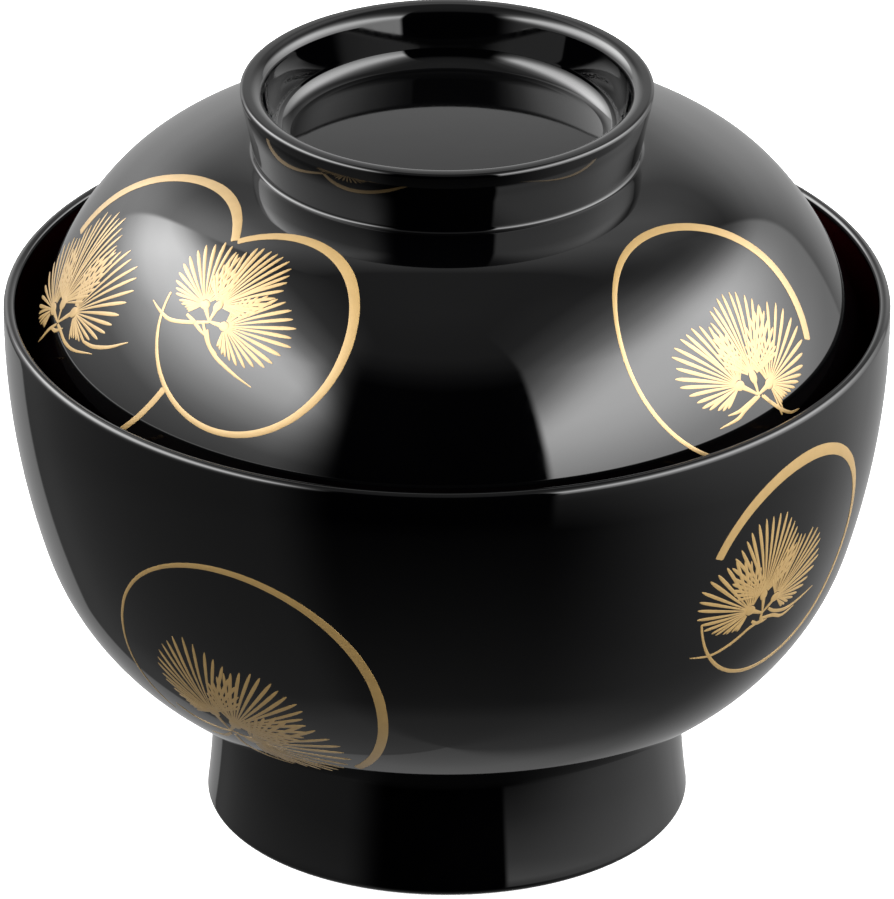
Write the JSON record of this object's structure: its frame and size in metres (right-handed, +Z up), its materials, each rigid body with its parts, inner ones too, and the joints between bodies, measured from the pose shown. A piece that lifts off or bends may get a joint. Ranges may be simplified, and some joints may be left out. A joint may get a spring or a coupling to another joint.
{
  "type": "lidded lacquer bowl",
  "caption": "Round lacquered wooden bowl on a tall foot, with a domed lid that sits inside its rim and a ring knob on the lid, decorated with gold brush rings and pine needles.",
  "frame": {"origin": "centre of the foot ring's underside, on the table, on the bowl's axis", "axes": "+Z up along the bowl's and the lid's common axis; -Y is the front, between the two motifs on the bowl's wall; +X is the viewer's right"},
  "size_m": [0.125, 0.125, 0.1105],
  "materials": {
    "wood_core": "turned close-grained hardwood, sealed all over by lacquer",
    "black_lacquer": "mirror-polished black lacquer",
    "maroon_lacquer": "polished dark maroon lacquer",
    "gold_maki_e": "gold powder over slightly raised lacquer, burnished"
  },
  "bodies": {
    "bowl": {"bowl_core": "wood_core", "bowl_outer_lacquer": "black_lacquer", "bowl_inner_lacquer": "maroon_lacquer", "foot_lacquer": "black_lacquer", "bowl_right_ring": "gold_maki_e", "bowl_right_pine": "gold_maki_e", "bowl_left_ring": "gold_maki_e", "bowl_left_pine": "gold_maki_e", "bowl_back_ring": "gold_maki_e", "bowl_back_pine": "gold_maki_e"},
    "lid": {"lid_core": "wood_core", "lid_outer_lacquer": "black_lacquer", "lid_inner_lacquer": "maroon_lacquer", "lid_left_ring": "gold_maki_e", "lid_left_pine": "gold_maki_e", "lid_middle_ring": "gold_maki_e", "lid_middle_pine": "gold_maki_e", "lid_right_ring": "gold_maki_e", "lid_right_pine": "gold_maki_e", "lid_back_ring": "gold_maki_e", "lid_back_pine": "gold_maki_e"}
  },
  "joints": [
    {"name": "lid_lift", "type": "slide", "parent": "bowl", "child": "lid", "axis": [0, 0, 1], "range_m": [0, 0.09]}
  ]
}
